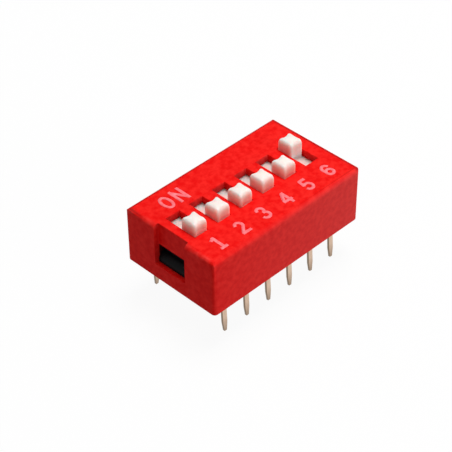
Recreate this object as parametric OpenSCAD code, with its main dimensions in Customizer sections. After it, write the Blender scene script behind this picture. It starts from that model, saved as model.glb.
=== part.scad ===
// Slide DIP switch: a snap-on cover over a moulded base, one slide and one spring strip
// for each position, and two rows of stamped terminals.
// X runs along the row, +Y is the ON side, Z is up. The origin is in the middle of the
// board seat, which is the lower rim of the cover.

/* [Housing] */
// Number of slides in the row
positions = 6; // [2:1:10]
// Spacing of the slides and of the pins in a row
pitch = 2.54; // [2.5:0.02:2.8]
// Distance between the two rows of pins at the board seat
row_spacing = 7.62; // [7.4:0.02:7.9]
// Distance from the middle of the outer slides to the end faces
end_margin = 2.1; // [2:0.01:2.4]
// Distance from a row of pins to the long side face beside it
side_margin = 1.21; // [1.1:0.01:1.5]
// Height of the housing above the board
body_h = 5.35; // [5.2:0.05:6]
// Radius of the long top edges
long_edge_r = 0.55; // [0.2:0.05:0.6]
// Radius of the top edge over the last end face
end_edge_r = 0.2; // [0.1:0.05:0.4]
// Radius of the top edge over the first end face, which the mould rounds more
first_edge_r = 0.45; // [0.1:0.05:0.5]
// Radius of the upright corners
corner_r = 0.34; // [0.1:0.02:0.5]

/* [Cover] */
// Thickness of the top wall
top_t = 0.7; // [0.5:0.05:0.9]
// Thickness of the long side walls
side_t = 0.8; // [0.7:0.05:0.9]
// Thickness of the end walls
end_t = 1; // [0.9:0.02:1.02]
// Thickness of the ribs between the slides
rib_t = 0.44; // [0.3:0.02:0.46]
// Length of a knob slot
slot_l = 3.3; // [3.1:0.02:3.7]
// Width of a knob slot
slot_w = 1.46; // [1.42:0.02:1.6]
// How far the slots and knobs stand off the middle of their pins, along the row
slot_shift = -0.08; // [-0.1:0.01:0.1]
// Width of a snap window, and of the recess above it in the first end face
recess_w = 3.4; // [3:0.05:4.5]
// Depth of the recess
recess_d = 0.5; // [0.4:0.05:0.6]
// Radius of the upright inner corners of the recess
recess_r = 0.1; // [0.1:0.05:0.35]
// Height of the sill that the snap lug hooks over
sill_h = 1.43; // [1.2:0.05:1.7]
// Height of the top of the snap window
window_top = 3.2; // [2.8:0.05:3.5]

/* [Base] */
// How far the underside of the base stands back from the board
base_recess = 0.15; // [0.05:0.05:0.3]
// Thickness of the base under the contact cells
floor_t = 1.2; // [1:0.05:1.3]
// Width of a contact cell
cell_w = 1.5; // [1.4:0.02:1.6]
// Gap between a snap lug and each side of its window
lug_side_gap = 0.06; // [0.04:0.02:0.3]
// How far a snap lug reaches over the sill
lug_reach = 0.6; // [0.4:0.05:0.65]
// Height of the upright face of a snap lug
lug_face_h = 0.48; // [0.3:0.02:0.6]
// Run and rise of the lead-in slope on a snap lug
lug_slope = 0.35; // [0.2:0.05:0.38]

/* [Slides] */
// Width of the finger knob
knob_w = 1.38; // [1.1:0.02:1.4]
// Length of the finger knob
knob_l = 1.62; // [1.3:0.02:1.7]
// Height of the finger knob above the top wall
knob_h = 1.1; // [0.6:0.02:1.4]
// Depth of the hollow in each end of the knob
knob_hollow = 0.12; // [0.08:0.02:0.24]
// Radius of the knob's upright corners
knob_corner_r = 0.2; // [0.08:0.02:0.24]
// Radius of the knob's top edges along its sides
knob_side_r = 0.26; // [0.08:0.02:0.32]
// Radius of the knob's top edges over its hollows
knob_end_r = 0.2; // [0.08:0.02:0.2]
// Thickness of the carriage under the top wall
carriage_t = 0.8; // [0.6:0.05:0.9]
// Width of the carriage
carriage_w = 2; // [1.9:0.02:2.02]
// How far the carriage covers the slot's ends when it is at its stops
carriage_lap = 0.28; // [0.1:0.02:0.35]
// Length of the hub that carries the spring strip
hub_l = 3.2; // [3:0.05:3.3]
// Gap left between the knob and the end of its slot at a stop
stop_gap = 0.03; // [0.03:0.01:0.2]

/* [Contacts] */
// Thickness of the terminal strip
strip_t = 0.22; // [0.2:0.01:0.3]
// Width of a pin
pin_w = 0.48; // [0.4:0.02:0.6]
// Width of the neck where a pin leaves the base
neck_w = 0.7; // [0.62:0.02:0.9]
// Length of the neck below the board seat, with its taper
neck_l = 0.5; // [0.3:0.05:0.8]
// Length of a pin below the board seat
pin_l = 3.5; // [2.8:0.1:4.2]
// Width of a pin at its tip
tip_w = 0.26; // [0.2:0.02:0.36]
// Length of the taper at the tip
tip_l = 0.9; // [0.5:0.05:1.2]
// Angle by which the pins lean outwards, so that they grip in the board
splay = 3.5; // [0:0.5:5]
// Width of a contact pad
pad_w = 1; // [0.9:0.02:1.2]
// Outer radius of the bend between pin and pad
bend_r = 0.45; // [0.4:0.01:0.6]
// Length of the insulating gap between the two pads
pad_gap = 0.6; // [0.4:0.05:0.8]
// Thickness of the spring strip
spring_t = 0.12; // [0.08:0.01:0.16]
// Width of the spring strip
spring_w = 1.1; // [0.8:0.05:1.2]
// Height of the bow of the spring strip
spring_h = 0.8; // [0.6:0.05:0.9]
// Distance from the middle of the strip to each of its contact points
spring_reach = 1.1; // [1:0.02:1.2]
// Width of the split that makes two fingers of each end
split_w = 0.24; // [0.16:0.02:0.3]
// Diameter of the peg that holds the strip under the hub
peg_d = 0.4; // [0.3:0.02:0.5]

/* [Fits] */
// Running clearance of a slide in the housing
slide_gap = 0.05; // [0.03:0.01:0.06]
// Clearance of the base in the cover
base_gap = 0.03; // [0.02:0.01:0.04]
// Clearance of a terminal in the base
terminal_gap = 0.02; // [0.01:0.01:0.03]
// Clearance between a spring strip and the pads
wipe_gap = 0.03; // [0.02:0.01:0.05]
// Clearance between a spring strip and its peg
peg_gap = 0.03; // [0.02:0.01:0.05]
// Clearance between a spring strip and the hub above it
seat_gap = 0.02; // [0.01:0.01:0.03]

/* [Hidden] */
$fn = 48;
PAST = 1; // how far a cut runs past the faces that it opens
ON_AT_REST = [6]; // positions that stand at ON at rest
BOW_STEPS = 28; // straight pieces along the bow of a spring strip
BOW_ENDS = 1.25; // half length of a spring strip, in reaches

body_l = (positions - 1) * pitch + 2 * end_margin;
body_w = row_spacing + 2 * side_margin;
cavity_l = body_l - 2 * end_t;
cavity_w = body_w - 2 * side_t;
ceiling_z = body_h - top_t;
floor_z = base_recess + floor_t;
carriage_top_z = ceiling_z - slide_gap;
carriage_z = carriage_top_z - carriage_t;
wall_top_z = carriage_z - slide_gap;
travel = slot_l - knob_l - 2 * stop_gap;
carriage_l = slot_l + travel + 2 * carriage_lap;
strip_z = floor_z + wipe_gap;
hub_z = strip_z + spring_h + seat_gap;
hub_w = cell_w - 2 * slide_gap;
cell_l = hub_l + travel + 4 * slide_gap;
front_pad_y = spring_reach - pad_gap / 2;
back_pad_y = -spring_reach - pad_gap / 2;
base_l = cavity_l - 2 * base_gap;
base_w = cavity_w - 2 * base_gap;
lug_x = base_l / 2 + base_gap + lug_reach;
lug_z = sill_h + base_gap;
lug_w = recess_w - 2 * lug_side_gap;
mid_spring = spring_h - spring_t;
bend_mid_r = bend_r - strip_t / 2;
bend_z = floor_z - bend_r;
bend_y = bend_mid_r / cos(splay) + bend_z * tan(splay) - row_spacing / 2;
seat_s = (bend_z + bend_mid_r * sin(splay)) / cos(splay); // along a pin, from bend to board seat
tip_s = seat_s + pin_l / cos(splay); // along a pin, from bend to tip

// Middle of position i along the row
function place_x(i) = (i - (positions + 1) / 2) * pitch;

// A slide's place along its slot at rest
function rest_y(i) = (len(search(i, ON_AT_REST)) > 0 ? 1 : -1) * travel / 2;

// Rectangle w by l about the origin with all four corners rounded
module rounded_rect(w, l, r) {
    square([w - 2 * r, l], center = true);
    square([w, l - 2 * r], center = true);
    for (x = [-1, 1], y = [-1, 1])
        translate([x * (w / 2 - r), y * (l / 2 - r)])
            circle(r);
}

// Rectangle w wide, standing on y = 0 and h high, with its two top corners rounded
module arch_rect(w, h, r) {
    translate([-w / 2, 0])
        square([w, h - r]);
    translate([r - w / 2, 0])
        square([w - 2 * r, h]);
    for (x = [-1, 1])
        translate([x * (w / 2 - r), h - r])
            circle(r);
}

// Runs a profile drawn in X and Z along Y, centred
module along_y(l) {
    rotate([90, 0, 0])
        linear_extrude(l, center = true)
            children();
}

// Runs a profile drawn in Y and Z along X, centred
module along_x(l) {
    rotate([90, 0, 90])
        linear_extrude(l, center = true)
            children();
}

// Block of size s, centred in X and Y, with its underside at height z
module slab(s, z) {
    translate([-s[0] / 2, -s[1] / 2, z])
        cube(s);
}

// The block that the outside of the cover is cut from, rounded along every upper edge
module cover_block() {
    intersection() {
        along_y(body_w + 2 * PAST)
            intersection() {
                arch_rect(body_l, body_h, end_edge_r);
                translate([body_l / 2, 0])
                    arch_rect(2 * body_l, body_h, first_edge_r);
            }
        along_x(body_l + 2 * PAST)
            translate([0, -PAST])
                arch_rect(body_w, body_h + PAST, long_edge_r);
        translate([0, 0, -PAST])
            linear_extrude(body_h + 2 * PAST)
                rounded_rect(body_l, body_w, corner_r);
    }
}

// Snap windows, straight through both end walls
module snap_windows() {
    for (x = [-1, 1])
        translate([x * (body_l - end_t) / 2, 0, 0])
            slab([end_t + PAST, recess_w, window_top - sill_h], sill_h);
}

// Recess in the first end face, from the sill of its window to the top
module end_recess() {
    translate([-body_l / 2, 0, sill_h])
        linear_extrude(body_h)
            rounded_rect(2 * recess_d, recess_w, recess_r);
}

// Moulded cover: a shell open below, with a slot for each knob and ribs between the slides
module cover() {
    color("#E8211E")
    difference() {
        cover_block();
        difference() {
            slab([cavity_l, cavity_w, ceiling_z + PAST], -PAST);
            for (i = [1:positions - 1])
                translate([place_x(i + 0.5), 0, 0])
                    slab([rib_t, body_w, body_h], carriage_z);
            slab([body_l, body_w, body_h], ceiling_z);
        }
        for (i = [1:positions])
            translate([place_x(i) + slot_shift, 0, 0])
                slab([slot_w, slot_l, body_h], carriage_z);
        snap_windows();
        end_recess();
    }
}

// Outline of a snap lug in X and Z: an upright face over the sill, and a slope above it
module lug_outline() {
    polygon([
        [base_l / 2 - PAST, lug_z],
        [lug_x, lug_z],
        [lug_x, lug_z + lug_face_h],
        [lug_x - lug_slope, lug_z + lug_face_h + lug_slope],
        [base_l / 2 - PAST, lug_z + lug_face_h + lug_slope]
    ]);
}

// Moulded base: a contact cell for each slide, slots for the terminals, a lug at each end
module base() {
    color("#191919")
    difference() {
        union() {
            slab([base_l, base_w, wall_top_z - base_recess], base_recess);
            along_y(lug_w)
                lug_outline();
            mirror([1, 0, 0])
                along_y(lug_w)
                    lug_outline();
        }
        for (i = [1:positions])
            translate([place_x(i), 0, 0]) {
                slab([cell_w, cell_l, body_h], floor_z);
                terminal_pocket(front_pad_y);
                mirror([0, 1, 0])
                    terminal_pocket(back_pad_y);
            }
    }
}

// Places what is drawn about the bend of a front terminal, leaning with its pin
module at_bend(lean) {
    translate([0, bend_y, bend_z])
        rotate([-lean, 0, 0])
            children();
}

// Room in the base for a front terminal whose pad ends at pad_end
module terminal_pocket(pad_end) {
    g = terminal_gap;
    at_bend(splay)
        translate([-neck_w / 2 - g, -bend_r - g, -tip_s])
            cube([neck_w + 2 * g, strip_t + 2 * g, tip_s + bend_r / 2]);
    at_bend(0)
        translate([-neck_w / 2 - g, -bend_r - g, 0])
            cube([neck_w + 2 * g, bend_r + g, bend_r + g]);
    translate([-pad_w / 2 - g, bend_y - g, floor_z - strip_t - g])
        cube([pad_w + 2 * g, pad_end - bend_y + 2 * g, strip_t + 2 * g]);
}

// Front view of a pin, down from its bend: a tapered neck, a straight shank and a tapered tip
module pin_outline() {
    neck_s = seat_s + neck_l;
    polygon([
        [-neck_w / 2, 0],
        [-neck_w / 2, -seat_s - neck_l / 2],
        [-pin_w / 2, -neck_s],
        [-pin_w / 2, tip_l - tip_s],
        [-tip_w / 2, -tip_s],
        [tip_w / 2, -tip_s],
        [pin_w / 2, tip_l - tip_s],
        [pin_w / 2, -neck_s],
        [neck_w / 2, -seat_s - neck_l / 2],
        [neck_w / 2, 0]
    ]);
}

// Side view of the bend, about the middle of its radius
module bend_outline() {
    intersection() {
        difference() {
            circle(bend_r);
            circle(bend_r - strip_t);
        }
        translate([-2 * bend_r, 0])
            square(2 * bend_r);
        rotate(-splay)
            translate([-2 * bend_r, 0])
                square(4 * bend_r);
    }
}

// Stamped terminal of the front row: pin, bend, and a pad that ends at pad_end
module terminal(pad_end) {
    color("#C9B18C") {
        at_bend(splay)
            translate([0, -bend_mid_r, 0])
                along_y(strip_t)
                    pin_outline();
        at_bend(0)
            along_x(neck_w)
                bend_outline();
        translate([-pad_w / 2, bend_y, floor_z - strip_t])
            cube([pad_w, pad_end - bend_y, strip_t]);
    }
}

// Terminals are numbered round the housing: the front row first, then the back row back again
module numbered_terminal(k) {
    front = k <= positions;
    translate([place_x(front ? k : 2 * positions + 1 - k), 0, 0]) {
        if (front)
            terminal(front_pad_y);
        else
            mirror([0, 1, 0])
                terminal(back_pad_y);
    }
}

// Plan of the finger knob, with a round hollow in the front and the back
module knob_plan() {
    reach = (knob_w - knob_corner_r) / 2;
    hollow_r = (pow(reach, 2) + pow(knob_hollow, 2)) / (2 * knob_hollow);
    difference() {
        rounded_rect(knob_w, knob_l, knob_corner_r);
        for (y = [-1, 1])
            translate([0, y * (knob_l / 2 - knob_hollow + hollow_r)])
                circle(hollow_r, $fn = 96);
    }
}

// Finger knob, standing on the carriage and through the slot
module knob() {
    foot_z = carriage_top_z - carriage_t / 2;
    top = body_h + knob_h - foot_z;
    translate([0, 0, foot_z])
        intersection() {
            translate([0, 0, -PAST])
                linear_extrude(top + 2 * PAST)
                    knob_plan();
            along_y(knob_l + PAST)
                arch_rect(knob_w, top, knob_side_r);
            along_x(knob_w + PAST)
                translate([0, -PAST])
                    arch_rect(knob_l, top + PAST, knob_end_r);
        }
}

// Moulded slide of position i: knob, carriage, hub and the peg under it
module slider(i) {
    color("#F6F1E8")
    translate([place_x(i), rest_y(i), 0]) {
        translate([slot_shift, 0, 0])
            knob();
        slab([carriage_w, carriage_l, carriage_t], carriage_z);
        slab([hub_w, hub_l, carriage_z - hub_z + carriage_t / 2], hub_z);
        translate([0, 0, hub_z - 2 * spring_t])
            cylinder(h = 2 * spring_t + carriage_t / 2, d = peg_d);
    }
}

// Height of the middle of a spring strip at y, and the lean of the strip there
function bow_z(y) = mid_spring / 2 * cos(180 * y / spring_reach);
function bow_lean(y) = atan(-mid_spring / 2 * PI / spring_reach * sin(180 * y / spring_reach));

// Edge of a spring strip that lies d above its middle line
function bow_edge(d) = [
    for (k = [0:BOW_STEPS])
        let (y = (2 * k / BOW_STEPS - 1) * BOW_ENDS * spring_reach, lean = bow_lean(y))
        [y - d * sin(lean), bow_z(y) + d * cos(lean)]
];

// Side view of a spring strip, standing on z = 0
module bow_outline() {
    translate([0, spring_h / 2])
        polygon(concat(bow_edge(spring_t / 2), reverse(bow_edge(-spring_t / 2))));
}

function reverse(list) = [for (k = [len(list) - 1:-1:0]) list[k]];

// Bowed spring strip of position i, with two fingers at each end and a hole for the peg
module contact(i) {
    split_l = BOW_ENDS * spring_reach - peg_d;
    color("#D8B25C")
    translate([place_x(i), rest_y(i), 0])
        difference() {
            translate([0, 0, strip_z])
                along_x(spring_w)
                    bow_outline();
            for (y = [-1, 1])
                translate([-split_w / 2, y * (peg_d + split_l / 2 + PAST / 2) - split_l / 2 - PAST / 2, floor_z])
                    cube([split_w, split_l + PAST, body_h]);
            translate([0, 0, floor_z])
                cylinder(h = body_h, d = peg_d + 2 * peg_gap);
        }
}

cover();
base();
for (i = [1:2 * positions])
    numbered_terminal(i);
for (i = [1:positions])
    slider(i);
for (i = [1:positions])
    contact(i);
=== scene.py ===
import math

import bmesh
import bpy
from mathutils import Matrix, Vector


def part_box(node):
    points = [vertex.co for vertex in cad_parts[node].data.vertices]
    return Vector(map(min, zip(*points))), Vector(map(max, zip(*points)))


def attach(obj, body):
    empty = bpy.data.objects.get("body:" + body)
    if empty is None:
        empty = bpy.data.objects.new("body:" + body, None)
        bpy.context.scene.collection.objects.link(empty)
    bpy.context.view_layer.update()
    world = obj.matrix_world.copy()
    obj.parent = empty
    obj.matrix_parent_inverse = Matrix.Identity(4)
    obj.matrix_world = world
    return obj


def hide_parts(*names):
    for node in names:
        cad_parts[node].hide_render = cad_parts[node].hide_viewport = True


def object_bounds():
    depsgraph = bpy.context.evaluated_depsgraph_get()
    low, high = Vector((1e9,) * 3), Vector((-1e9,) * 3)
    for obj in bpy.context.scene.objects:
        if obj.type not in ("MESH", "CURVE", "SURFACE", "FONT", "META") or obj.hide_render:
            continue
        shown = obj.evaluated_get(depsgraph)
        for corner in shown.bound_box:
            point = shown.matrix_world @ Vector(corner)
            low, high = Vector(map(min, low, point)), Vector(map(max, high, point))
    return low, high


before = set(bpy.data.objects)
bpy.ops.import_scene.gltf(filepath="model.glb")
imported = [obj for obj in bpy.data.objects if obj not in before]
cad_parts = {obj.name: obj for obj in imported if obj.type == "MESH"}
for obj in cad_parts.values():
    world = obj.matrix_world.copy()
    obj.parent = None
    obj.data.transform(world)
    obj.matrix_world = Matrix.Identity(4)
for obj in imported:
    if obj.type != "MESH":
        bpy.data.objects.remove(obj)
cad_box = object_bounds()
scene = bpy.context.scene
MM = 0.001


# ---------------------------------------------------------------- camera
# A long lens, looking down on the numbered side of the switch from its position 1 corner.
# It is set by where it stands and what it looks at, with a slight roll.
eye = Vector((-70.298, -68.454, 83.669)) * MM
aim = Vector((-2.241, -0.118, 2.675)) * MM
roll = math.radians(-0.52)
camera_data = bpy.data.cameras.new("camera")
camera_data.sensor_width = 36.0
camera_data.lens = 123.91
camera_data.clip_start = 1 * MM
camera_data.clip_end = 10.0
camera = bpy.data.objects.new("camera", camera_data)
scene.collection.objects.link(camera)
camera.location = eye
upright = (aim - eye).to_track_quat("-Z", "Y").to_matrix()
camera.rotation_euler = (upright @ Matrix.Rotation(roll, 3, "Z")).to_euler()
scene.camera = camera
scene.view_settings.view_transform = "Standard"


# ---------------------------------------------------------------- room
# A white table under two soft lamps: the key hangs almost overhead, a little towards the far end,
# and a low one fills the numbered side. The table throws light back up, and keeps a faint shadow.
def linear(code):
    """Linear colour with alpha from an sRGB hex code."""
    parts = [int(code[i : i + 2], 16) / 255 for i in (1, 3, 5)]
    return [c / 12.92 if c <= 0.04045 else ((c + 0.055) / 1.055) ** 2.4 for c in parts] + [1.0]


def add(tree, kind, inputs=None, **settings):
    """A new node of that kind, with its settings. Each input is a value, or a socket to link to."""
    node = tree.nodes.new(kind)
    for key, value in settings.items():
        setattr(node, key, value)
    for key, value in (inputs or {}).items():
        if isinstance(value, bpy.types.NodeSocket):
            tree.links.new(value, node.inputs[key])
        else:
            node.inputs[key].default_value = value
    return node


def blank(name):
    """A new material with that name, and its empty node tree."""
    material = bpy.data.materials.new(name)
    material.use_nodes = True
    material.node_tree.nodes.clear()
    return material, material.node_tree


def seen_directly(tree):
    """1 for a ray from the camera, a mirror or glass, and 0 for a ray that lights something."""
    path = add(tree, "ShaderNodeLightPath")
    seen = path.outputs["Is Camera Ray"]
    for ray in ("Is Glossy Ray", "Is Transmission Ray"):
        either = add(tree, "ShaderNodeMath", {0: seen, 1: path.outputs[ray]}, operation="MAXIMUM")
        seen = either.outputs[0]
    return seen


# The room is seen white, but lights the switch only at the sky's level. The seen table is mostly a
# white glow, and the rest of it is a surface that takes the shadow. Distances are in metres.
SKY_LEVEL = 0.22
GLOW_SHARE = 0.94
TABLE_REACH = 0.6
LAMP_DISTANCE = 0.3
LAMP_SIZE = 0.16
# Each lamp is given by its turn and its height, both in degrees, and its watts.
LAMPS = {"overhead lamp": (5, 78, 0.75), "low front lamp": (285, 15, 0.25)}

world = bpy.data.worlds.new("pale room")
scene.world = world
world.use_nodes = True
tree = world.node_tree
tree.nodes.clear()
level = add(tree, "ShaderNodeMapRange", {"Value": seen_directly(tree), "To Min": SKY_LEVEL, "To Max": 1.0})
room = add(tree, "ShaderNodeBackground", {"Color": linear("#FFFFFF"), "Strength": level.outputs[0]})
add(tree, "ShaderNodeOutputWorld", {"Surface": room.outputs[0]})

table_mesh = bpy.data.meshes.new("table")
table_z = cad_box[0][2]
signs = ((-1, -1), (1, -1), (1, 1), (-1, 1))
table_mesh.from_pydata([(x * TABLE_REACH, y * TABLE_REACH, table_z) for x, y in signs], [], [(0, 1, 2, 3)])
table = bpy.data.objects.new("table", table_mesh)
scene.collection.objects.link(table)
paper, tree = blank("white table")
dim = add(tree, "ShaderNodeBsdfDiffuse", {"Color": linear("#B3B3B3")})
bright = add(tree, "ShaderNodeBsdfDiffuse", {"Color": linear("#F3F3F3")})
glow = add(tree, "ShaderNodeEmission", {"Color": linear("#FFFFFF"), "Strength": 1.0})
shown = add(tree, "ShaderNodeMixShader", {0: GLOW_SHARE, 1: bright.outputs[0], 2: glow.outputs[0]})
both = add(tree, "ShaderNodeMixShader", {0: seen_directly(tree), 1: dim.outputs[0], 2: shown.outputs[0]})
add(tree, "ShaderNodeOutputMaterial", {"Surface": both.outputs[0]})
table_mesh.materials.append(paper)

for name, (turn, height, watts) in LAMPS.items():
    lamp_data = bpy.data.lights.new(name, "AREA")
    lamp_data.shape = "DISK"
    lamp_data.size = LAMP_SIZE
    lamp_data.energy = watts
    lamp = bpy.data.objects.new(name, lamp_data)
    scene.collection.objects.link(lamp)
    raised = Matrix.Rotation(math.radians(-height), 3, "Y") @ Vector((LAMP_DISTANCE, 0, 0))
    lamp.location = Matrix.Rotation(math.radians(turn), 3, "Z") @ raised
    lamp.rotation_euler = (-lamp.location).to_track_quat("-Z", "Y").to_euler()


# ---------------------------------------------------------------- base
# The black base is moulded from a glass-filled PBT and carries the terminals.
# Its hooked lugs show in the windows at both ends, where they hold the cover down.
def finished(draft):
    """The plain mesh of an object as its modifiers leave it. The object itself is removed."""
    scene.collection.objects.link(draft)
    bpy.context.view_layer.update()
    mesh = bpy.data.meshes.new_from_object(draft.evaluated_get(bpy.context.evaluated_depsgraph_get()))
    bpy.data.objects.remove(draft)
    return mesh


def placed(name, mesh, finish=None):
    """A piece of the switch, in the scene."""
    piece = bpy.data.objects.new(name, mesh)
    scene.collection.objects.link(piece)
    if finish:
        mesh.materials.clear()
        mesh.materials.append(finish)
    return piece


def eased(node, finish, width_mm, segments=3):
    """A copy of a CAD node with its points merged and its sharp edges rounded off."""
    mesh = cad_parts[node].data.copy()
    bm = bmesh.new()
    bm.from_mesh(mesh)
    bmesh.ops.remove_doubles(bm, verts=bm.verts, dist=0.0001 * MM)
    bmesh.ops.dissolve_limit(bm, angle_limit=math.radians(0.5), verts=bm.verts, edges=bm.edges)
    bm.to_mesh(mesh)
    bm.free()
    mesh.shade_smooth()
    draft = bpy.data.objects.new(node + "_draft", mesh)
    rounding = draft.modifiers.new("rounding", "BEVEL")
    rounding.limit_method = "ANGLE"
    rounding.angle_limit = math.radians(50)
    rounding.width = width_mm * MM
    rounding.segments = segments
    draft.modifiers.new("flat faces", "WEIGHTED_NORMAL").keep_sharp = False
    return placed(node + "_moulding", finished(draft), finish)


def moulded(name, light, dark, mottle_mm, grain_mm, grain_depth_mm, surface):
    """A moulded plastic: a faint mottle between two colours, and the fine bump of its mould's face.

    A real mould's grain is a few hundredths of a millimetre, and is drawn coarser so that it shows.
    """
    plastic, tree = blank(name)
    place = add(tree, "ShaderNodeTexCoord")
    in_mm = add(tree, "ShaderNodeMapping", {"Vector": place.outputs["Object"], "Scale": [1 / MM] * 3})
    mottle = add(tree, "ShaderNodeTexNoise",
                 {"Vector": in_mm.outputs[0], "Scale": 0.5 / mottle_mm, "Detail": 3.0})
    spread = add(tree, "ShaderNodeMapRange",
                 {"Value": mottle.outputs["Fac"], "From Min": 0.35, "From Max": 0.65})
    colour = add(tree, "ShaderNodeMix", {0: spread.outputs[0], 6: linear(dark), 7: linear(light)},
                 data_type="RGBA")
    grain = add(tree, "ShaderNodeTexNoise",
                {"Vector": in_mm.outputs[0], "Scale": 0.5 / grain_mm, "Detail": 2.0})
    bump = add(tree, "ShaderNodeBump", {"Height": grain.outputs["Fac"], "Distance": grain_depth_mm * MM})
    shader = add(tree, "ShaderNodeBsdfPrincipled", {
        "Base Color": colour.outputs[2], "Normal": bump.outputs[0], "IOR": 1.55, **surface})
    add(tree, "ShaderNodeOutputMaterial", {"Surface": shader.outputs[0]})
    return plastic


# An eroded mould leaves it matt, so it stays black in the windows.
black_pbt = moulded("black PBT, eroded mould", light="#0C0A0C", dark="#070607",
                    mottle_mm=0.3, grain_mm=0.1, grain_depth_mm=0.004,
                    surface={"Roughness": 0.5, "Specular IOR Level": 0.06})
base = eased("base", black_pbt, 0.03, segments=2)
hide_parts("base")
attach(base, "housing")


# ---------------------------------------------------------------- terminals
# Stamped from a copper alloy strip, bent once, and plated all over with a thin pale gold.
# The plating follows the rolled strip, so it is satin, with fine lines along each pin.
def place_and_facing(tree):
    """Where a point is on its piece, and which way the surface faces there, by X, Y and Z."""
    whole = add(tree, "ShaderNodeTexCoord")
    parts = [add(tree, "ShaderNodeSeparateXYZ", {0: whole.outputs[side]}) for side in ("Object", "Normal")]
    return whole, parts[0].outputs, parts[1].outputs


# Sizes are in mm, and a tip is given by its heights. Real rolling lines lie a few hundredths of a
# millimetre apart, and are drawn coarser so that they show.
LINES_PER_MM = 14.0
LINE_STRETCH = 0.12
LINE_DEPTH = 0.003
TIP_FROM = -2.0
TIP_TO = -3.5

plating, tree = blank("flash gold plating on rolled strip")
whole, spot, facing = place_and_facing(tree)
in_mm = add(tree, "ShaderNodeMapping",
            {"Vector": whole.outputs["Object"], "Scale": (1 / MM, 1 / MM, LINE_STRETCH / MM)})
lines = add(tree, "ShaderNodeTexNoise", {"Vector": in_mm.outputs[0], "Scale": LINES_PER_MM, "Detail": 3.0})
tone = add(tree, "ShaderNodeMix", {0: lines.outputs["Fac"], 6: linear("#C2A288"), 7: linear("#E6CCB6")},
           data_type="RGBA")
# The sheared edges of the pins are darkened with painted shade, and the pins darken towards their tips.
endways = add(tree, "ShaderNodeMath", {0: facing["X"]}, operation="ABSOLUTE")
edge_shade = add(tree, "ShaderNodeMapRange",
              {"Value": endways.outputs[0], "From Min": 0.2, "From Max": 0.9, "To Max": 0.85})
tip = add(tree, "ShaderNodeMapRange",
          {"Value": spot["Z"], "From Min": TIP_FROM * MM, "From Max": TIP_TO * MM, "To Max": 0.6})
edge_shade_and_tip = add(tree, "ShaderNodeMath", {0: edge_shade.outputs[0], 1: tip.outputs[0]}, operation="MAXIMUM")
coat = add(tree, "ShaderNodeMix", {0: edge_shade_and_tip.outputs[0], 6: tone.outputs[2], 7: linear("#6E5C48")},
           data_type="RGBA")
bump = add(tree, "ShaderNodeBump",
           {"Height": lines.outputs["Fac"], "Strength": 0.6, "Distance": LINE_DEPTH * MM})
shader = add(tree, "ShaderNodeBsdfPrincipled", {
    "Base Color": coat.outputs[2], "Metallic": 1.0, "Roughness": 0.34, "Normal": bump.outputs[0]})
add(tree, "ShaderNodeOutputMaterial", {"Surface": shader.outputs[0]})
for name in sorted(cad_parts):
    if name.startswith("terminal_"):
        terminal = eased(name, plating, 0.02, segments=2)
        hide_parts(name)
        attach(terminal, "housing")


# ---------------------------------------------------------------- contacts
# A bowed strip of spring bronze under each slide, gold plated where it wipes the terminal pads.
# It is sealed inside the housing.
bronze = plating.copy()
bronze.name = "gold-plated spring bronze"
for name in sorted(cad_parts):
    if name.startswith("contact_"):
        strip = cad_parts[name]
        strip.data.materials.clear()
        strip.data.materials.append(bronze)


# ---------------------------------------------------------------- slides
# Each slide is one moulding of unpigmented nylon: a knob hollowed for a pen tip at both ends,
# a flat carriage that runs under the cover, and a hub with a peg that hold the spring strip.

# Sizes are in mm. A crown is how far the knob's top edge comes in and down, and the hub is given by
# half its width and length. The knob and the hub are each sunk into the carriage, to be fused with it.
KNOB = (1.38, 1.62)
KNOB_SHIFT = -0.08
KNOB_CORNER = 0.2
HOLLOW = 0.12
CROWN_SIDE = (0.2, 0.55)
CROWN_END = (0.28, 0.45)
DOME = 0.04
CARRIAGE_LOW = 3.8
CARRIAGE_TOP = 4.6
KNOB_SUNK = 0.2
HUB = (0.7, 1.6)
HUB_SUNK = 0.3
PEG_R = 0.2
PEG_REACH = 0.24
BOX_EDGE = 0.05
PEG_EDGE = 0.06


def knob_plan(drawn=200, wanted=120):
    """Outline of a knob about its middle, anticlockwise, as even points with outward directions."""
    w, l = KNOB[0] / 2, KNOB[1] / 2
    reach = w - KNOB_CORNER / 2
    arc_r = (reach**2 + HOLLOW**2) / (2 * HOLLOW)
    end = []
    for k in range(drawn):
        x = w * math.cos(math.pi * k / (drawn - 1))
        inset = max(0.0, abs(x) - (w - KNOB_CORNER))
        corner = l - KNOB_CORNER + math.sqrt(max(0.0, KNOB_CORNER**2 - inset**2))
        hollow = l - HOLLOW + arc_r - math.sqrt(arc_r**2 - x * x)
        end.append(Vector((x, min(corner, hollow))))
    loop = end + [Vector((-p.x, -p.y)) for p in end]
    closed = loop[1:] + loop[:1]
    step = sum((b - a).length for a, b in zip(loop, closed)) / wanted
    even, left, here = [loop[0]], step, loop[0]
    for target in closed:
        while (target - here).length > left and len(even) < wanted:
            here = here + (target - here).normalized() * left
            even.append(here)
            left = step
        left -= (target - here).length
        here = target
    count = len(even)
    for _ in range(2):
        even = [(even[k - 1] + even[k] * 2 + even[(k + 1) % count]) / 4 for k in range(count)]
    runs = [(even[(k + 1) % count] - even[k - 1]).normalized() for k in range(count)]
    return [(point, Vector((run.y, -run.x))) for point, run in zip(even, runs)]


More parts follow.
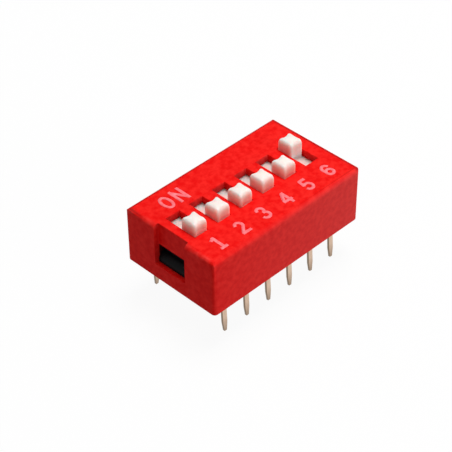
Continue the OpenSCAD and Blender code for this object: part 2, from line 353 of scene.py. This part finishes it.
def knob_shell(bottom, top):
    """Closed shell of a knob, with its crown rounded and its top domed."""
    bm = bmesh.new()
    plan = knob_plan()
    rings = [[bm.verts.new((p.x, p.y, bottom)) for p, _ in plan]]
    for turn in range(0, 91, 15):
        c, s = math.cos(math.radians(turn)), math.sin(math.radians(turn))
        ring = []
        for p, n in plan:
            run, drop = [end + (side - end) * n.x**4 for side, end in zip(CROWN_SIDE, CROWN_END)]
            q = p - p.normalized() * run * (1 - c)
            ring.append(bm.verts.new((q.x, q.y, top - drop * (1 - s))))
        rings.append(ring)
    rim = [v.co.copy() for v in rings[-1]]
    for share in (0.85, 0.65, 0.45, 0.25):
        rings.append([bm.verts.new((c.x * share, c.y * share, top + DOME * (1 - share**2))) for c in rim])
    for low, high in zip(rings, rings[1:]):
        for k in range(len(low)):
            bm.faces.new((low[k - 1], low[k], high[k], high[k - 1]))
    peak = bm.verts.new((0, 0, top + DOME))
    for k in range(len(rim)):
        bm.faces.new((rings[-1][k - 1], rings[-1][k], peak))
    bm.faces.new(rings[0][::-1])
    return bm


def box_shell(half_w, half_l, low, high):
    """Closed box about the Z axis, with all its edges rounded."""
    bm = bmesh.new()
    bmesh.ops.create_cube(bm, size=1.0)
    for v in bm.verts:
        x, y = math.copysign(half_w, v.co.x), math.copysign(half_l, v.co.y)
        v.co = Vector((x, y, high if v.co.z > 0 else low))
    bmesh.ops.bevel(bm, geom=bm.edges, offset=BOX_EDGE, segments=3, profile=0.5, affect="EDGES")
    return bm


def peg_shell(low, high):
    """Closed upright peg, with a rounded end below."""
    bm = bmesh.new()
    bmesh.ops.create_cone(bm, cap_ends=True, segments=32, radius1=PEG_R, radius2=PEG_R, depth=high - low)
    bmesh.ops.translate(bm, verts=bm.verts, vec=(0, 0, (low + high) / 2))
    rim = [e for e in bm.edges if all(v.co.z < low + 1e-6 for v in e.verts)]
    bmesh.ops.bevel(bm, geom=rim, offset=PEG_EDGE, segments=3, profile=0.5, affect="EDGES")
    return bm


def as_object(name, bm):
    """A loose object of a shell that was drawn in mm."""
    bmesh.ops.recalc_face_normals(bm, faces=bm.faces)
    bmesh.ops.scale(bm, verts=bm.verts, vec=(MM, MM, MM))
    mesh = bpy.data.meshes.new(name)
    bm.to_mesh(mesh)
    bm.free()
    return bpy.data.objects.new(name, mesh)


low, high = [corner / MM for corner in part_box("slider_1")]
half_w, half_l = (high.x - low.x) / 2, (high.y - low.y) / 2
knob = knob_shell(CARRIAGE_TOP - KNOB_SUNK, high.z - DOME)
bmesh.ops.translate(knob, verts=knob.verts, vec=(KNOB_SHIFT, 0, 0))
slide_draft = as_object("slide_draft", knob)
shells = [
    as_object("carriage", box_shell(half_w, half_l, CARRIAGE_LOW, CARRIAGE_TOP)),
    as_object("hub", box_shell(*HUB, low.z + PEG_REACH, CARRIAGE_LOW + HUB_SUNK)),
    as_object("peg", peg_shell(low.z, CARRIAGE_LOW)),
]
for shell in shells:
    scene.collection.objects.link(shell)
    fuse = slide_draft.modifiers.new("fuse " + shell.name, "BOOLEAN")
    fuse.operation = "UNION"
    fuse.object = shell
slide_draft.modifiers.new("flat faces", "WEIGHTED_NORMAL").keep_sharp = False
for part in (slide_draft, *shells):
    part.data.shade_smooth()
slide_mesh = finished(slide_draft)
for shell in shells:
    bpy.data.objects.remove(shell)

# Nylon lets light in and spreads it, so its edges look soft.
nylon = moulded("natural nylon, polished mould", light="#F5EAE4", dark="#F1E4DD",
                mottle_mm=0.4, grain_mm=0.12, grain_depth_mm=0.001,
                surface={"Roughness": 0.42, "Specular IOR Level": 0.4, "Subsurface Weight": 1.0,
                         "Subsurface Radius": (1.0, 0.55, 0.5), "Subsurface Scale": 1.2 * MM})
# Red light that the cover throws onto the nylon near it is painted into its colour, as a painted red
# reflection.
# It is given by height, is strongest where the knob leaves its slot, and has gone at the top.
PAINTED_BOUNCE_FROM = 4.5
PAINTED_BOUNCE_TO = 6.5
PAINTED_RED_BOUNCE = {4.65: "#FFECEB", 5.2: "#FF958E", 5.4: "#FF5950", 5.6: "#F39589", 5.8: "#EFC4BC",
         6.0: "#F7E5DF", 6.2: "#FFF1EF", 6.35: "#FFF3F1", 6.45: "#FFFFFF"}
CARRIAGE_ONLY = 4.7

tree = nylon.node_tree
shader = tree.nodes["Principled BSDF"]
plain = shader.inputs["Base Color"].links[0].from_socket
_, spot, facing = place_and_facing(tree)
up = add(tree, "ShaderNodeMapRange",
         {"Value": spot["Z"], "From Min": PAINTED_BOUNCE_FROM * MM, "From Max": PAINTED_BOUNCE_TO * MM})
painted_red_bounce = add(tree, "ShaderNodeValToRGB", {0: up.outputs[0]})
stops = painted_red_bounce.color_ramp.elements
stops.remove(stops[1])
for height, tint in PAINTED_RED_BOUNCE.items():
    stops.new((height - PAINTED_BOUNCE_FROM) / (PAINTED_BOUNCE_TO - PAINTED_BOUNCE_FROM)).color = linear(tint)
stops.remove(stops[0])
endways = add(tree, "ShaderNodeMath", {0: facing["X"]}, operation="ABSOLUTE")
share = add(tree, "ShaderNodeMapRange",
            {"Value": endways.outputs[0], "From Min": 0.2, "From Max": 0.9, "To Min": 1.0, "To Max": 0.75})
# The face over the open half of the slot has the white carriage in front of it, and gets less of the
# painted red reflection.
off_middle = add(tree, "ShaderNodeMath", {0: spot["Y"]}, operation="ABSOLUTE")
off_open = add(tree, "ShaderNodeMapRange", {
    "Value": off_middle.outputs[0], "From Min": 0.1 * MM, "From Max": 0.5 * MM, "To Min": 0.35})
carriage = add(tree, "ShaderNodeMath", {0: spot["Z"], 1: CARRIAGE_ONLY * MM}, operation="LESS_THAN")
limit = add(tree, "ShaderNodeMath", {0: off_open.outputs[0], 1: carriage.outputs[0]}, operation="MAXIMUM")
share = add(tree, "ShaderNodeMath", {0: share.outputs[0], 1: limit.outputs[0]}, operation="MULTIPLY")
# The painted red reflection is multiplied into the nylon's colour.
bounce_painted = add(tree, "ShaderNodeMix", {0: share.outputs[0], 6: plain, 7: painted_red_bounce.outputs[0]},
             data_type="RGBA", blend_type="MULTIPLY")
tree.links.new(bounce_painted.outputs[2], shader.inputs["Base Color"])
for name in sorted(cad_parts):
    if name.startswith("slider_"):
        low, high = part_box(name)
        mesh = slide_mesh.copy()
        mesh.transform(Matrix.Translation(((low.x + high.x) / 2, (low.y + high.y) / 2, 0)))
        slide = placed(name + "_moulding", mesh, nylon)
        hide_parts(name)
        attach(slide, name.replace("slider", "switch"))


# ---------------------------------------------------------------- cover
# The red shell is moulded in one piece from PBT and snaps down over the base.
# Its mould was spark eroded, so every outer face is finely grained and matt.

# Sizes are in mm. A wall that lies deeper than the skin of an outer face is an inner wall, and is darkened
# with painted shade, which grows more slowly down the walls of the slots. The jamb is the back one of the
# first end's window.
FIRST_END_SKIN = 0.49
SIDE_SKIN = 0.22
FAR_END_SKIN = 0.1
SLOT_SLOWNESS = 0.4
JAMB_Y = 1.7
JAMB_REACH = 0.1
JAMB_TOP = 3.3
JAMB_DEPTH = 1.2

red_pbt = moulded("red PBT, eroded mould", light="#F5211B", dark="#E70302",
                  mottle_mm=0.23, grain_mm=0.1, grain_depth_mm=0.006,
                  surface={"Roughness": 0.6, "Specular IOR Level": 0.06})
tree = red_pbt.node_tree
shader = tree.nodes["Principled BSDF"]
coat = shader.inputs["Base Color"].links[0].from_socket
whole, spot, facing = place_and_facing(tree)
end_x, side_y, top_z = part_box("cover")[1]
below_top = add(tree, "ShaderNodeMath", {0: top_z, 1: spot["Z"]}, operation="SUBTRACT").outputs[0]
from_first_end = add(tree, "ShaderNodeMath", {0: spot["X"], 1: end_x}, operation="ADD").outputs[0]
from_far_end = add(tree, "ShaderNodeMath", {0: end_x, 1: spot["X"]}, operation="SUBTRACT").outputs[0]
# The long sides are painted a little paler, more towards the far end, as a painted sheen.
sideways = add(tree, "ShaderNodeMath", {0: facing["Y"]}, operation="ABSOLUTE")
on_side = add(tree, "ShaderNodeMapRange", {"Value": sideways.outputs[0], "From Min": 0.3, "From Max": 0.95})
lengthways = add(tree, "ShaderNodeMapRange", {
    "Value": spot["X"], "From Min": -end_x, "From Max": end_x, "To Min": 0.008, "To Max": 0.036})
painted_sheen = add(tree, "ShaderNodeMath", {0: on_side.outputs[0], 1: lengthways.outputs[0]}, operation="MULTIPLY")
# The top edge over the first end is a paler red, in patches.
from_edge = add(tree, "ShaderNodeMath", {0: below_top, 1: from_first_end}, operation="MAXIMUM")
first_edge_band = add(tree, "ShaderNodeMapRange",
             {"Value": from_edge.outputs[0], "From Min": 0.45 * MM, "From Max": 0.25 * MM})
patches = add(tree, "ShaderNodeTexNoise",
              {"Vector": whole.outputs["Object"], "Scale": 1.2 / MM, "Detail": 3.0})
patchy = add(tree, "ShaderNodeMapRange",
             {"Value": patches.outputs["Fac"], "From Min": 0.35, "From Max": 0.7, "To Max": 0.05})
paler_edge_patches = add(tree, "ShaderNodeMath", {0: first_edge_band.outputs[0], 1: patchy.outputs[0]}, operation="MULTIPLY")
# The edges that turn to the back and to the far end are a little darker, as painted shade.
away = add(tree, "ShaderNodeMath", {0: facing["X"], 1: facing["Y"]}, operation="MAXIMUM")
turned = add(tree, "ShaderNodeMapRange", {"Value": away.outputs[0], "From Min": 0.05, "From Max": 0.3})
end_strip = add(tree, "ShaderNodeMapRange",
                {"Value": from_far_end, "From Min": 0.4 * MM, "From Max": 0.25 * MM})
outline = add(tree, "ShaderNodeMath", {0: turned.outputs[0], 1: end_strip.outputs[0]}, operation="MAXIMUM")
rim = add(tree, "ShaderNodeMapRange",
          {"Value": below_top, "From Min": 0.3 * MM, "From Max": 0.15 * MM, "To Max": 0.42})
far_edge_shade = add(tree, "ShaderNodeMath", {0: outline.outputs[0], 1: rim.outputs[0]}, operation="MULTIPLY")
# The walls inside the slots and windows are darkened with painted shade, the more the deeper they lie.
across = add(tree, "ShaderNodeMath", {0: spot["Y"]}, operation="ABSOLUTE").outputs[0]
from_side = add(tree, "ShaderNodeMath", {0: side_y, 1: across}, operation="SUBTRACT").outputs[0]
depth = add(tree, "ShaderNodeMath", {0: below_top, 1: SLOT_SLOWNESS}, operation="MULTIPLY").outputs[0]
skins = ((from_first_end, FIRST_END_SKIN), (from_side, SIDE_SKIN), (from_far_end, FAR_END_SKIN))
for inset, skin in skins:
    under = add(tree, "ShaderNodeMath", {0: inset, 1: skin * MM}, operation="SUBTRACT").outputs[0]
    depth = add(tree, "ShaderNodeMath", {0: depth, 1: under}, operation="MINIMUM").outputs[0]
inner_wall_shade = add(tree, "ShaderNodeMapRange",
           {"Value": depth, "From Min": 0.05 * MM, "From Max": 0.3 * MM, "To Max": 0.58})
# The back jamb of the first end's window is in full shade, and that shade is painted in, all but black.
off_jamb = add(tree, "ShaderNodeMath", {0: spot["Y"], 1: JAMB_Y * MM}, operation="SUBTRACT")
off_jamb = add(tree, "ShaderNodeMath", {0: off_jamb.outputs[0]}, operation="ABSOLUTE").outputs[0]
inward = add(tree, "ShaderNodeMath", {0: from_first_end, 1: FIRST_END_SKIN * MM}, operation="SUBTRACT")
reveal = inward.outputs[0]
limits = ((JAMB_REACH, off_jamb), (JAMB_TOP, spot["Z"]), (JAMB_DEPTH, inward.outputs[0]))
for limit, value in limits:
    left = add(tree, "ShaderNodeMath", {0: limit * MM, 1: value}, operation="SUBTRACT").outputs[0]
    reveal = add(tree, "ShaderNodeMath", {0: reveal, 1: left}, operation="MINIMUM").outputs[0]
jamb_shade = add(tree, "ShaderNodeMapRange", {"Value": reveal, "From Max": 0.06 * MM, "To Max": 0.95})
# Mixed in turn: a painted sheen on the long sides, paler patches on the first end's top edge, painted shade
# on the far edges and inner walls, and the painted shade of the jamb.
coats = ((painted_sheen, "#FFFFFF"), (paler_edge_patches, "#FFD0C4"), (far_edge_shade, "#4A0404"), (inner_wall_shade, "#4A0404"), (jamb_shade, "#0A0203"))
for share, colour in coats:
    mixed = add(tree, "ShaderNodeMix", {0: share.outputs[0], 6: coat, 7: linear(colour)}, data_type="RGBA")
    coat = mixed.outputs[2]
tree.links.new(coat, shader.inputs["Base Color"])
cover = eased("cover", red_pbt, 0.04)
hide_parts("cover")
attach(cover, "housing")


# ---------------------------------------------------------------- legend
# The position numbers and ON are pad printed on the cover in a thin white ink.
# The coat is about a hundredth of a millimetre, so the red shows through it.

# Sizes are in mm. The clouds are the thinner and thicker places of the coat.
STROKE = 0.27
DIGIT_SIZE = 0.93
COAT = 0.012
COAT_MIDDLE = 0.0035
ON_Y = 3.05
DIGIT_Y = -3.35
CLOUDS_PER_MM = 3.5


def arc(x, y, rx, ry, start, end, count=24):
    """Points of an elliptical arc about (x, y), from one angle in degrees to another."""
    turns = [math.radians(start + (end - start) * k / count) for k in range(count + 1)]
    return [(x + rx * math.cos(t), y + ry * math.sin(t)) for t in turns]


# Each sign is the place of its middle, and the strokes that are drawn about it.
GLYPHS = {
    "O": ((-5.75, ON_Y), [arc(0, 0, 0.4, 0.7, 0, 360, 40)]),
    "N": ((-4.35, ON_Y), [[(-0.4, -0.85), (-0.4, 0.85)],
                          [(0.4, -0.85), (0.4, 0.85)],
                          [(-0.4, 0.72), (0.4, -0.72)]]),
    "1": ((-6.32, DIGIT_Y), [[(0.02, -0.8), (0.02, 0.85)],
                             [(0.02, 0.72), (-0.36, 0.5)],
                             [(-0.4, -0.74), (0.38, -0.74)]]),
    "2": ((-3.76, DIGIT_Y), [arc(0, 0.3, 0.34, 0.4, 165, -20)
                             + [(0.22, 0.02), (-0.3, -0.55), (-0.36, -0.68)],
                             [(-0.5, -0.7), (0.5, -0.7)]]),
    "3": ((-1.27, DIGIT_Y), [arc(-0.02, 0.38, 0.32, 0.35, 175, -90),
                             arc(-0.02, -0.33, 0.38, 0.38, 90, -172)]),
    "4": ((1.3, DIGIT_Y), [[(0.2, -0.82), (0.2, 0.8)],
                           [(0.14, 0.7), (-0.44, -0.26)],
                           [(-0.54, -0.32), (0.48, -0.32)]]),
    "5": ((3.78, DIGIT_Y), [[(-0.28, 0.7), (0.4, 0.7)],
                            [(-0.24, 0.75), (-0.32, -0.05)],
                            [(-0.36, 0.0)] + arc(-0.02, -0.28, 0.38, 0.42, 130, -165)]),
    "6": ((6.35, DIGIT_Y), [arc(0, -0.24, 0.36, 0.36, 0, 360, 40),
                            arc(0.02, 0.23, 0.38, 0.48, 18, 215)]),
}
strokes = bpy.data.curves.new("legend strokes", "CURVE")
strokes.dimensions = "3D"
strokes.twist_mode = "Z_UP"
for sign, ((cx, cy), paths) in GLYPHS.items():
    size = DIGIT_SIZE if sign.isdigit() else 1.0
    for path in paths:
        spline = strokes.splines.new("POLY")
        spline.points.add(len(path) - 1)
        for point, (x, y) in zip(spline.points, path):
            point.co = ((cx + x * size) * MM, (cy + y * size) * MM, top_z + COAT_MIDDLE * MM, 1)

ink, tree = blank("thin white pad-printing ink")
whole = add(tree, "ShaderNodeTexCoord")
in_mm = add(tree, "ShaderNodeMapping", {"Vector": whole.outputs["Object"], "Scale": [1 / MM] * 3})
cloud = add(tree, "ShaderNodeTexNoise", {"Vector": in_mm.outputs[0], "Scale": CLOUDS_PER_MM, "Detail": 3.0})
spread = add(tree, "ShaderNodeMapRange", {"Value": cloud.outputs["Fac"], "From Min": 0.3, "From Max": 0.7})
colour = add(tree, "ShaderNodeMix", {0: spread.outputs[0], 6: linear("#FF6870"), 7: linear("#FF888E")},
             data_type="RGBA")
shader = add(tree, "ShaderNodeBsdfPrincipled", {
    "Base Color": colour.outputs[2], "Roughness": 0.55, "IOR": 1.5, "Specular IOR Level": 0.2})
add(tree, "ShaderNodeOutputMaterial", {"Surface": shader.outputs[0]})

printing = bpy.data.node_groups.new("pad printing", "GeometryNodeTree")
face = printing.interface
face.new_socket("Strokes", in_out="INPUT", socket_type="NodeSocketGeometry")
stroke_width = face.new_socket("Stroke width", in_out="INPUT", socket_type="NodeSocketFloat")
coat_thickness = face.new_socket("Coat thickness", in_out="INPUT", socket_type="NodeSocketFloat")
face.new_socket("Print", in_out="OUTPUT", socket_type="NodeSocketGeometry")
given = add(printing, "NodeGroupInput")
nib = add(printing, "GeometryNodeCurvePrimitiveQuadrilateral",
          {"Width": given.outputs["Stroke width"], "Height": given.outputs["Coat thickness"]})
ribbon = add(printing, "GeometryNodeCurveToMesh",
             {"Curve": given.outputs["Strokes"], "Profile Curve": nib.outputs[0], "Fill Caps": True})
joined = add(printing, "GeometryNodeMeshBoolean", {"Mesh 2": ribbon.outputs[0], "Self Intersection": True},
             operation="UNION", solver="EXACT")
real = add(printing, "GeometryNodeRealizeInstances", {"Geometry": joined.outputs[0]})
inked = add(printing, "GeometryNodeSetMaterial", {"Geometry": real.outputs[0], "Material": ink})
add(printing, "NodeGroupOutput", {0: inked.outputs[0]})

legend_draft = bpy.data.objects.new("legend_draft", strokes)
press = legend_draft.modifiers.new("printing", "NODES")
press.node_group = printing
press[stroke_width.identifier] = STROKE * MM
press[coat_thickness.identifier] = COAT * MM
legend = placed("legend", finished(legend_draft))
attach(legend, "housing")
